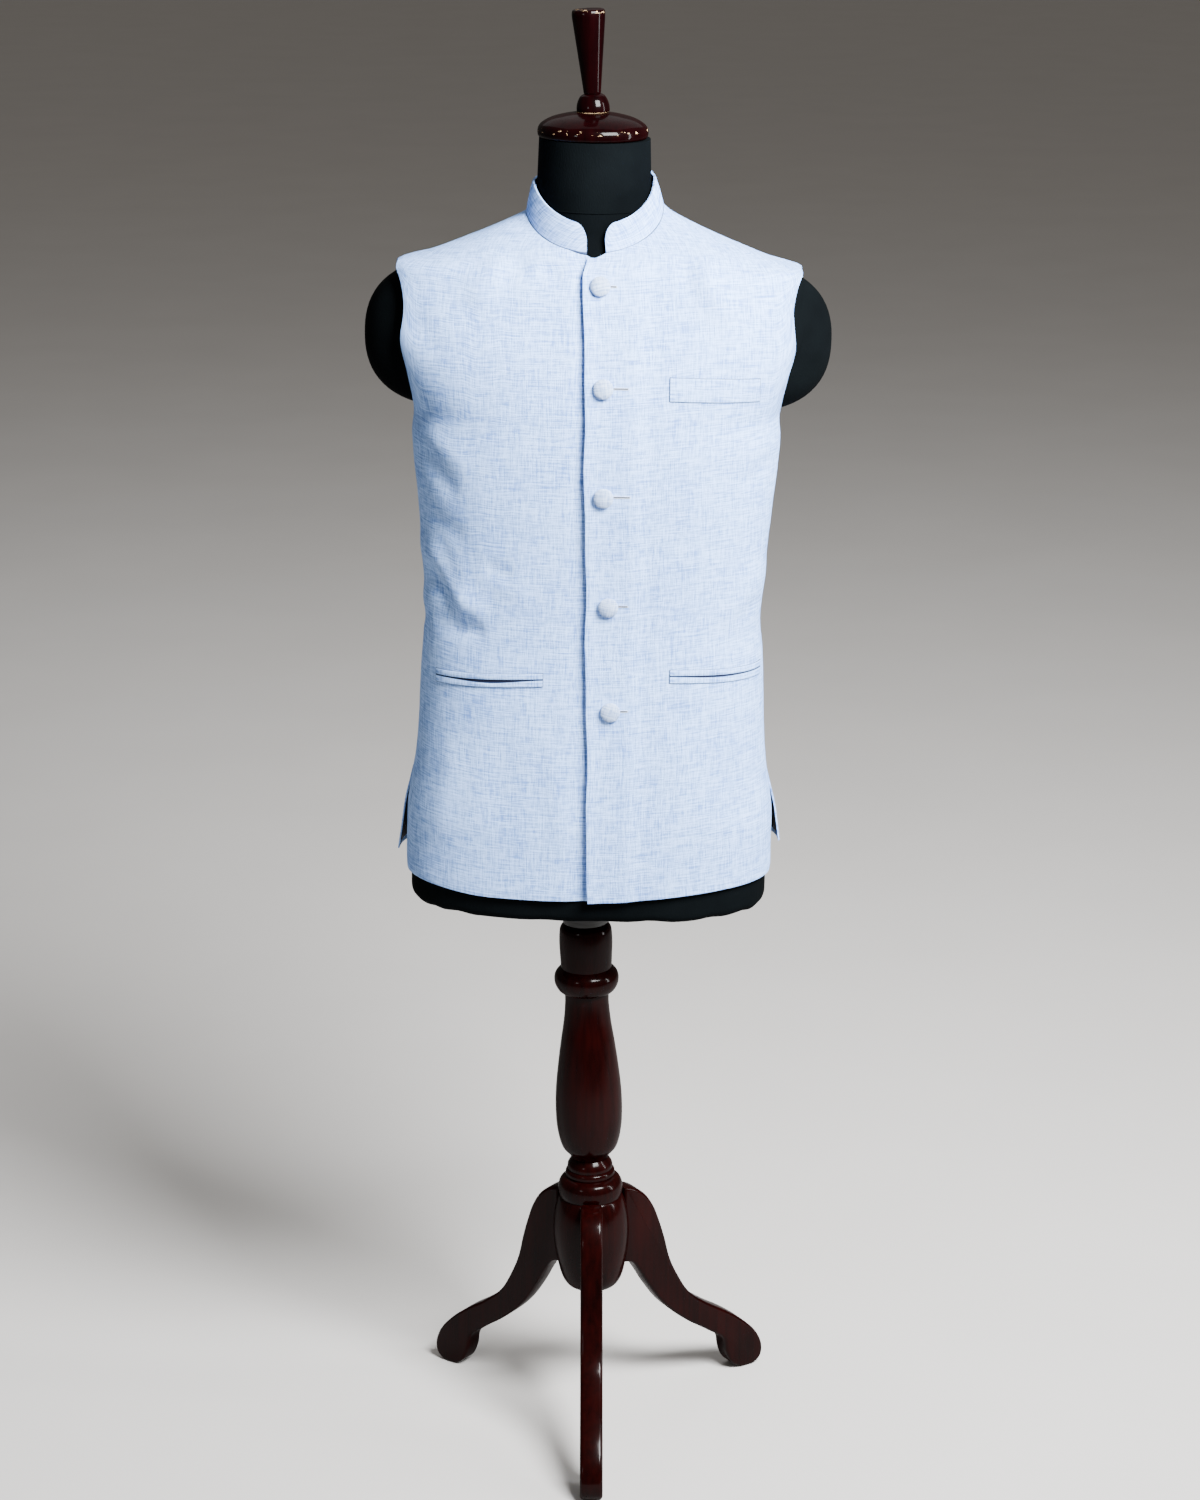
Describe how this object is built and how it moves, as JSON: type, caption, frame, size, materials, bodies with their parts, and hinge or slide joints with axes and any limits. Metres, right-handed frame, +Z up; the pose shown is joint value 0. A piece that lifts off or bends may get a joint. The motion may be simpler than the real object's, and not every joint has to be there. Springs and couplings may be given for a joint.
{
  "type": "nehru jacket on a dress form",
  "caption": "Sleeveless jacket with a stand collar, covered buttons and welt pockets, worn by a limbless dress form on a turned wooden post with three curved legs.",
  "frame": {"origin": "middle of the whole part's bounding box in plan, on the floor under the three feet", "axes": "+Z up, -Y towards the jacket's buttoned front, +X towards the wearer's left"},
  "size_m": [0.5119, 0.3858, 1.6579],
  "materials": {
    "cloth": "pale blue slubbed linen",
    "lining": "dark navy lining",
    "jersey": "black stretched jersey",
    "wood": "dark mahogany varnish",
    "metal": "dull grey steel"
  },
  "bodies": {
    "root": {"form_torso": "jersey", "neck_cap": "wood", "finial_bead": "wood", "finial_handle": "wood", "flange": "metal", "post": "wood", "hub": "wood", "leg_front": "wood", "leg_left": "wood", "leg_right": "wood", "back_left": "cloth", "back_right": "cloth", "vent_lining_left": "lining", "vent_lining_right": "lining", "front_right": "cloth", "front_left": "cloth", "collar": "cloth", "breast_welt": "cloth", "hip_pocket_right_upper_welt": "cloth", "hip_pocket_right_lower_welt": "cloth", "hip_pocket_left_upper_welt": "cloth", "hip_pocket_left_lower_welt": "cloth", "button_1": "cloth", "button_2": "cloth", "button_3": "cloth", "button_4": "cloth", "button_5": "cloth"}
  },
  "joints": []
}
